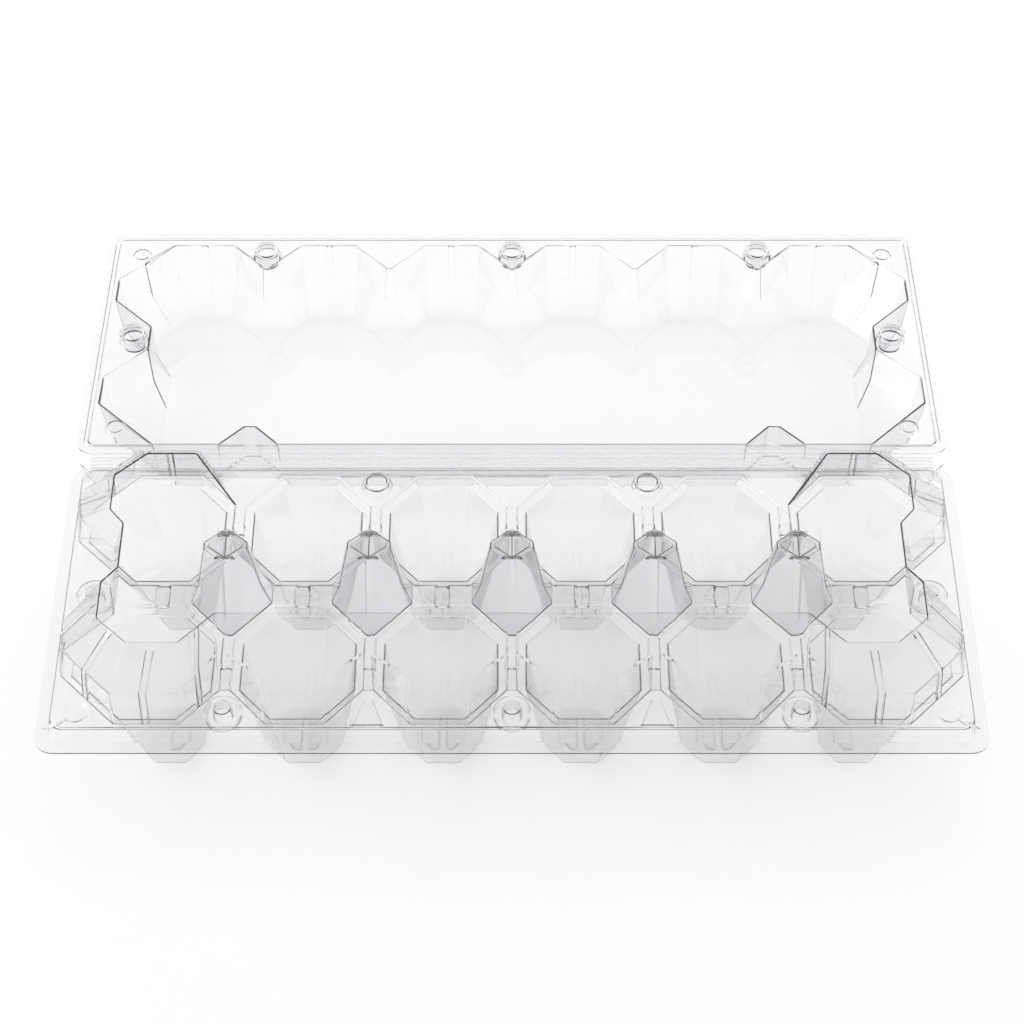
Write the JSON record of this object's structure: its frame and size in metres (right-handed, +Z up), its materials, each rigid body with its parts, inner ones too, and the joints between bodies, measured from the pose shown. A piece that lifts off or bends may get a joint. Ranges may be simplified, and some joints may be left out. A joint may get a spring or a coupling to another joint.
{
  "type": "egg keeper",
  "caption": "Clear formed egg carton with two rows of octagonal cups, corner and front guards, and a flip lid on a folding band that snaps onto studs.",
  "frame": {"origin": "on the table, at the centre of the open carton's footprint, close under the folding band", "axes": "+X along the length, +Y towards the open lid, +Z up"},
  "size_m": [0.304, 0.24, 0.0697],
  "materials": {
    "clear_pet": "clear, glossy formed PET sheet"
  },
  "bodies": {
    "base": {"base_deck": "clear_pet", "base_dimples": "clear_pet", "base_rim": "clear_pet", "corner_guard_front_left": "clear_pet", "corner_guard_front_right": "clear_pet", "corner_guard_rear_left": "clear_pet", "corner_guard_rear_right": "clear_pet", "cup_front_1": "clear_pet", "cup_front_2": "clear_pet", "cup_front_3": "clear_pet", "cup_front_4": "clear_pet", "cup_front_5": "clear_pet", "cup_front_6": "clear_pet", "cup_rear_1": "clear_pet", "cup_rear_2": "clear_pet", "cup_rear_3": "clear_pet", "cup_rear_4": "clear_pet", "cup_rear_5": "clear_pet", "cup_rear_6": "clear_pet", "front_guard": "clear_pet", "post_1": "clear_pet", "post_2": "clear_pet", "post_3": "clear_pet", "post_4": "clear_pet", "post_5": "clear_pet", "rear_lugs": "clear_pet", "side_guard_left": "clear_pet", "side_guard_right": "clear_pet", "snap_studs": "clear_pet", "spine_saddles": "clear_pet", "web_saddles": "clear_pet"},
    "band": {"hinge_band": "clear_pet"},
    "lid": {"lid_dimples": "clear_pet", "lid_panel": "clear_pet", "lid_rim": "clear_pet", "lid_wall_far": "clear_pet", "lid_wall_hinge": "clear_pet", "lid_wall_left": "clear_pet", "lid_wall_right": "clear_pet", "snap_collars": "clear_pet"}
  },
  "joints": [
    {"name": "band_fold", "type": "hinge", "parent": "base", "child": "band", "pos_m": [0, -0.00305, 0.03675], "axis": [1, 0, 0], "range_deg": [0, 90.05]},
    {"name": "lid_fold", "type": "hinge", "parent": "band", "child": "lid", "pos_m": [0, 0.00345, 0.03675], "axis": [1, 0, 0], "range_deg": [0, 94.89]}
  ],
  "couplings": [
    {"joint": "band_fold", "follows": "lid_fold", "ratio": 0.94851}
  ]
}
